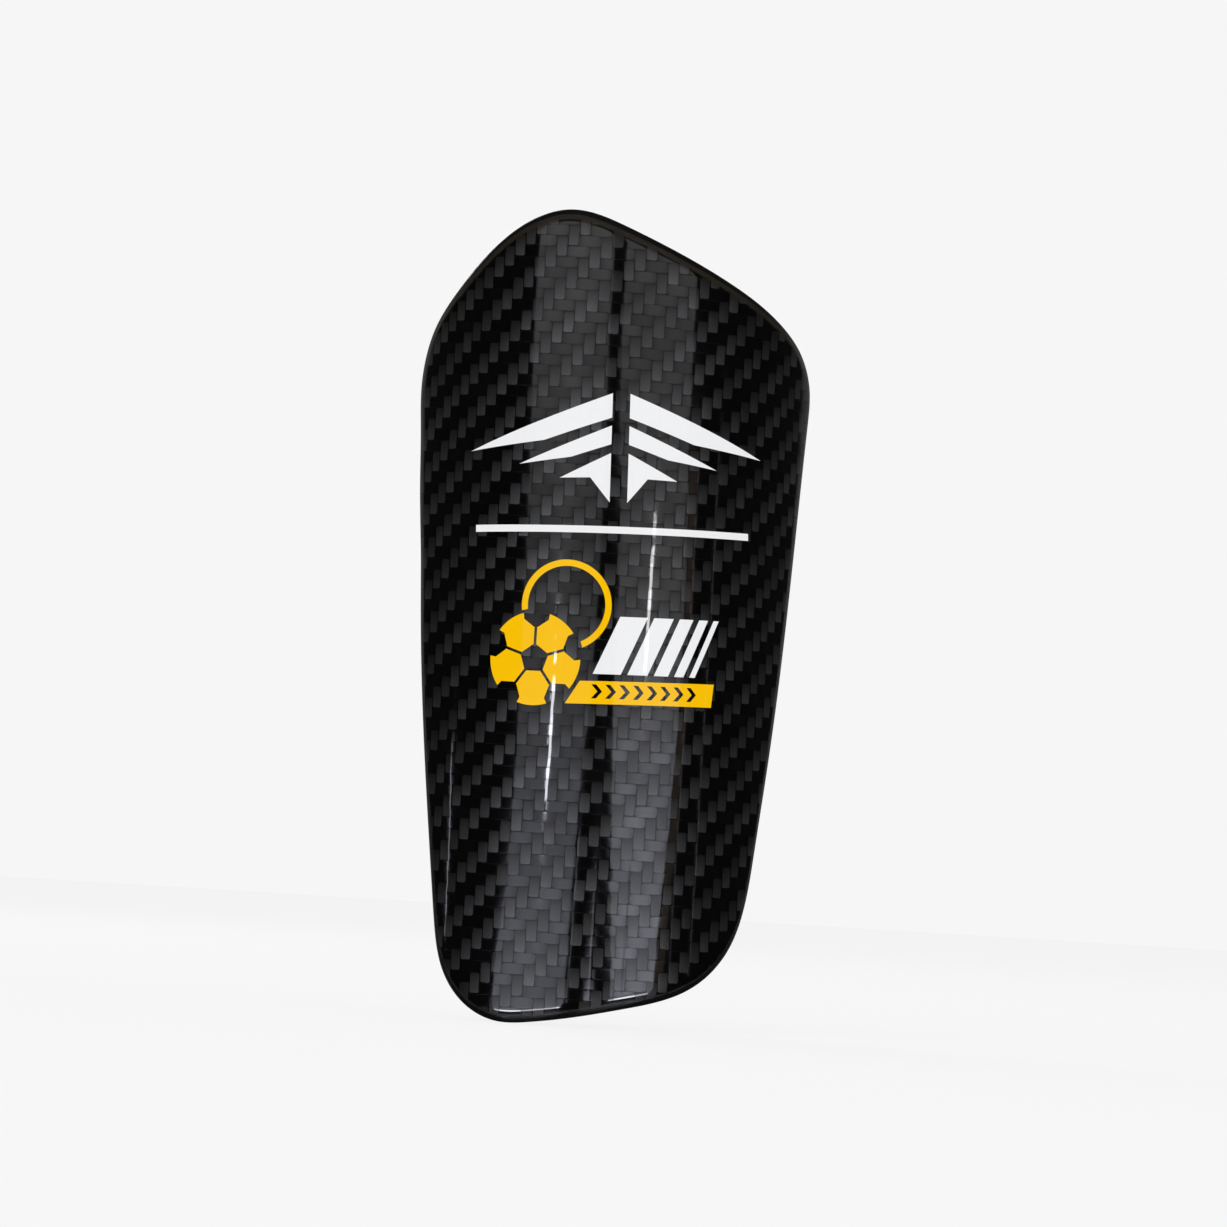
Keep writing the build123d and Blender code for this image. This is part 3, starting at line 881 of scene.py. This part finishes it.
v, f, nn, at = closed_sheet(
    "knit_lining", LINING_INSET + 0.1, LINING_O, LINING_I, 310, 150,
    front_shape=lambda S, Z, D: lining_r(S, Z, D, LINING_O),
    back_shape=lambda S, Z, D: lining_r(S, Z, D, LINING_I),
)
LS, LZ = row_sheet(LINING_INSET + 0.1, 310, 150)
pr = pressed_lines(LS, LZ, edge_distance(LS, LZ)).ravel()
at["pressed"] = np.r_[pr, pr]
lining = new_mesh("knit_lining", v, f, None, attrs=at)
give(lining, KNIT)
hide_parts("lining")

# ------------------------------------------------------------------ CAD nodes that keep their own shape
for node, mat in (("core_ply_front", CORE), ("core_ply_rear", CORE), ("back_ply", REAR), ("adhesive_film", GLUE)):
    give(bpy.data.objects[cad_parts[node].name] if hasattr(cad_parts[node], "name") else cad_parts[node], mat)

# ------------------------------------------------------------------ floor, light and camera
floor_z = CAD_BOX[0][2]
me = bpy.data.meshes.new("studio_floor")
bm = bmesh.new()
bmesh.ops.create_grid(bm, x_segments=8, y_segments=8, size=6.0)
bm.to_mesh(me)
bm.free()
floor = bpy.data.objects.new("studio_floor", me)
floor.location = (0, 0, floor_z)
bpy.context.scene.collection.objects.link(floor)
m, nt, p = material("pale_floor")
p.inputs["Base Color"].default_value = (0.10, 0.10, 0.10, 1)
p.inputs["Roughness"].default_value = 1.0
p.inputs["Specular IOR Level"].default_value = 0.0
p.inputs["Emission Color"].default_value = (1, 1, 1, 1)
p.inputs["Emission Strength"].default_value = 0.815
floor.data.materials.append(m)
floor.visible_glossy = False

AZ = math.radians(-4.6)
EL = math.radians(-3.0)
ROLL = math.radians(3.5)
DIST = 1.2
world = bpy.data.worlds.new("studio")
bpy.context.scene.world = world
world.use_nodes = True
wt = NT(world.node_tree)
wt.n.clear()
tc = wt.n.new("ShaderNodeTexCoord")
dx, dy, dz = wt.sep(tc.outputs["Generated"])
az = wt.mul(wt.math("ARCTAN2", dx, wt.mul(dy, -1.0)), 180 / math.pi)
el = wt.mul(wt.math("ARCSINE", dz), 180 / math.pi)


def window(a, lo, hi, soft=0.35):
    return wt.mul(wt.ramp(a, lo - soft, lo + soft), wt.ramp(a, hi - soft, hi + soft, 1.0, 0.0))


E_LO, E_HI = -16.0, 16.0


def curve(pts, lo, hi):
    """A value by elevation, in degrees above the horizon; flat beyond the ends."""
    grad = wt.n.new("ShaderNodeFloatCurve")
    cv = grad.mapping.curves[0]
    loc = [((e_ - E_LO) / (E_HI - E_LO), (l_ - lo) / (hi - lo)) for e_, l_ in pts]
    cv.points[0].location = loc[0]
    cv.points[1].location = loc[-1]
    for q in loc[1:-1]:
        cv.points.new(*q)
    for q in cv.points:
        q.handle_type = "VECTOR"
    grad.mapping.update()
    wt.put(grad.inputs["Value"], wt.ramp(el, E_LO, E_HI, 0.0, 1.0, smooth=False))
    return wt.add(wt.mul(grad.outputs[0], hi - lo), lo)


def strip(lo, hi, soft=0.35):
    """1 between two wandering edges."""
    a_ = wt.ramp(wt.sub(az, lo), -soft, soft)
    b_ = wt.ramp(wt.sub(hi, az), -soft, soft)
    return wt.mul(a_, b_)


LOW = [(-16.0, 0.06), (-11.8, 0.10), (-11.0, 9.8), (-8.3, 9.5), (-7.5, 1.2), (-2.2, 1.1)]
HIGH = [(12.0, 0.50), (14.0, 0.06), (16.0, 0.03)]
LEFT = LOW + [(-1.5, 0.98), (-0.8, 0.84), (0.3, 0.66), (1.4, 0.47), (2.6, 0.30), (3.7, 0.25), (5.0, 0.36), (6.0, 0.42), (7.4, 0.50)] + HIGH
RIGHT = LOW + [(-1.5, 1.75), (-0.9, 1.55), (0.0, 1.22), (1.4, 1.06), (2.4, 0.64), (3.7, 0.40), (6.0, 0.37), (7.4, 0.40)] + HIGH
c0 = math.degrees(AZ)


def edge_at(pts):
    return curve([(E_LO, pts[0][1] + c0)] + [(e_, a_ + c0) for e_, a_ in pts] + [(E_HI, pts[-1][1] + c0)], -60.0, 60.0)


e1 = edge_at([(-2.0, -42.0), (-0.82, -41.5), (0.13, -38.5), (1.1, -37.0), (3.0, -38.0), (4.9, -39.5), (6.0, -41.0)])
e2 = edge_at([(-2.0, -5.0), (-0.82, -4.5), (0.13, -3.0), (1.1, -2.2), (2.05, -0.3), (3.5, 1.0), (4.9, 0.0), (5.9, -2.0), (6.8, -2.2)])
e3 = edge_at([(-2.0, 21.0), (-0.82, 19.5), (-0.35, 17.7), (0.13, 15.2), (1.1, 13.2), (2.05, 12.0), (3.5, 11.0), (4.9, 6.5), (5.9, 4.5), (6.8, 4.5)])
e4 = edge_at([(-2.0, 42.0), (-0.82, 42.0), (0.13, 44.0), (1.1, 45.7), (2.05, 47.0), (3.0, 46.5), (4.9, 44.0), (5.9, 43.0), (6.8, 42.7)])
dark = wt.mul(window(az, 25.3 + c0, 26.3 + c0, 0.3), wt.mul(window(el, -1.2, 0.2, 0.15), 0.55))
broad = wt.add(1.0, wt.mul(window(az, -24.0 + c0, -13.0 + c0, 5.0), wt.mul(window(el, 2.4, 6.0, 1.2), 0.25)))
panel_l = wt.add(
    wt.mul(strip(e1, e2), wt.mul(curve(LEFT, 0.0, 10.0), broad)),
    wt.mul(strip(e3, e4), wt.mul(curve(RIGHT, 0.0, 10.0), wt.sub(1.0, dark))),
)
under = wt.mul(wt.add(window(az, -42.0 + c0, -3.0 + c0, 1.5), window(az, 10.0 + c0, 46.0 + c0, 1.5)), wt.mul(window(el, -42.0, -19.0, 3.0), 0.34))
sides = wt.add(window(az, 118.0, 160.0, 3.0), window(az, -165.0, -120.0, 3.0))
side_l = wt.mul(wt.mul(sides, window(el, -25.0, 25.0, 6.0)), 0.13)
streak1 = wt.mul(window(az, -20.3 + c0, -18.9 + c0, 0.2), wt.mul(window(el, 1.0, 2.35, 0.1), 17.0))
streak2 = wt.mul(window(az, 27.0 + c0, 28.5 + c0, 0.2), wt.mul(window(el, 2.75, 3.6, 0.1), 15.0))
lean = wt.add(az, wt.mul(wt.sub(el, 1.4), 1.7))
thin = wt.mul(window(lean, -74.8 + c0, -74.2 + c0, 0.15), wt.mul(window(el, -0.4, 1.4, 0.15), 3.0))
spur = wt.mul(window(az, 7.3 + c0, 8.0 + c0, 0.2), wt.mul(window(el, -1.7, -0.15, 0.25), 1.5))
foot = wt.mul(window(az, 5.8 + c0, 10.6 + c0, 0.5), wt.mul(window(el, -2.6, -1.15, 0.2), 3.0))
edge_line = wt.mul(window(wt.sub(az, e2), 1.3, 1.8, 0.2), wt.mul(window(el, -1.3, 0.6, 0.2), 0.9))
faint = wt.mul(wt.add(window(az, 49.6 + c0, 50.3 + c0, 0.25), window(az, 61.4 + c0, 62.2 + c0, 0.3)), wt.mul(window(el, -0.9, 5.0, 0.6), 0.28))
rest_l = wt.add(wt.add(streak1, streak2), wt.add(wt.add(thin, wt.add(spur, foot)), wt.add(faint, edge_line)))
gloss = wt.add(wt.add(wt.add(panel_l, under), wt.add(side_l, 0.02)), rest_l)
warm_reflection = wt.mul(window(wt.sub(az, e4), 0.8, 4.6, 0.5), window(el, -1.5, 5.0, 0.8))
cool = wt.ramp(el, 0.5, 3.5, 1.0, 0.0)
lp = wt.n.new("ShaderNodeLightPath")
amb = 0.78
gloss_c = wt.vec(
    wt.add(wt.mul(gloss, wt.sub(1.0, wt.mul(cool, 0.03))), wt.mul(warm_reflection, 0.16)),
    wt.add(gloss, wt.mul(warm_reflection, 0.115)),
    wt.add(wt.mul(gloss, wt.add(1.0, wt.mul(cool, 0.13))), wt.mul(warm_reflection, 0.085)),
)
value = wt.mix(lp.outputs["Is Glossy Ray"], (amb, amb, amb, 1.0), gloss_c)
value = wt.mix(lp.outputs["Is Camera Ray"], value, (0.922, 0.922, 0.922, 1.0))
bg = wt.n.new("ShaderNodeBackground")
wt.put(bg.inputs["Color"], value)
bg.inputs["Strength"].default_value = 1.0
wo = wt.n.new("ShaderNodeOutputWorld")
wt.l.new(bg.outputs[0], wo.inputs[0])


def area_light(name, loc, target, size, power, gloss=False):
    ld = bpy.data.lights.new(name, "AREA")
    ld.shape = "RECTANGLE"
    ld.size, ld.size_y = size
    ld.energy = power
    lo = bpy.data.objects.new(name, ld)
    lo.location = loc
    d = Vector(target) - Vector(loc)
    lo.rotation_euler = d.to_track_quat("-Z", "Y").to_euler()
    lo.visible_camera = False
    lo.visible_glossy = gloss
    bpy.context.scene.collection.objects.link(lo)
    return lo


area_light("key", (-0.9, -1.3, 1.3), (0, 0, 0), (1.0, 1.0), 9.0)
area_light("fill", (1.2, -0.8, 0.9), (0, 0, 0), (1.0, 1.0), 4.0)
area_light("rear", (-0.7, 1.3, 1.1), (0, 0, 0), (0.8, 0.8), 9.0, True)

back = Vector((math.sin(AZ) * math.cos(EL), -math.cos(AZ) * math.cos(EL), math.sin(EL)))
right = Vector((math.cos(AZ), math.sin(AZ), 0))
up = back.cross(right)
target = Vector((0.0, -0.0082, 0.00111))
cx = right * math.cos(ROLL) + up * math.sin(ROLL)
cy = -right * math.sin(ROLL) + up * math.cos(ROLL)
cam_d = bpy.data.cameras.new("camera")
cam_d.sensor_width = 36.0
cam_d.lens = 36.0 * DIST / (1227 * 0.2276 * MM) 
cam_d.clip_start = 0.05
cam_d.clip_end = 50
cam = bpy.data.objects.new("camera", cam_d)
rot = Matrix((cx, cy, back)).transposed().to_4x4()
cam.matrix_world = Matrix.Translation(target + back * DIST) @ rot
bpy.context.scene.collection.objects.link(cam)
bpy.context.scene.camera = cam
vs = bpy.context.scene.view_settings
vs.view_transform = "Standard"
vs.look = "None"
vs.exposure = 0.0
vs.gamma = 1.0
